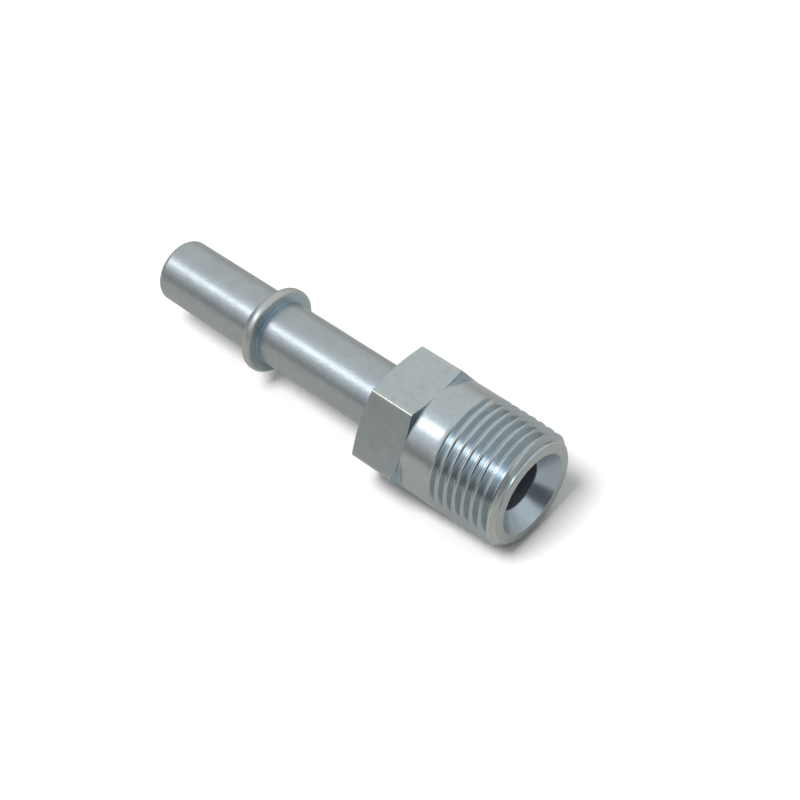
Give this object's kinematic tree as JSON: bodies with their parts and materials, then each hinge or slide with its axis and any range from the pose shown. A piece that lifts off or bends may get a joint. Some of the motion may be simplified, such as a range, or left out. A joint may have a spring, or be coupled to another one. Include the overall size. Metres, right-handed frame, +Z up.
{
  "type": "fuel line adapter fitting",
  "caption": "Straight steel adapter: a push-in stem with a retaining bead, a spanner hexagon and a male taper pipe thread, bored right through.",
  "frame": {"origin": "bottom centre of the overall box, where the lower hexagon flat rests on the floor", "axes": "+X along the bore, out of the threaded end; +Z up, square to the upper hexagon flat; +Y to the side, through a hexagon corner"},
  "size_m": [0.0654, 0.0196, 0.017],
  "materials": {
    "zinc_plated_steel": "clear blue-white zinc plate over fine turning marks"
  },
  "bodies": {
    "root": {"fitting_body": "zinc_plated_steel"}
  },
  "joints": []
}
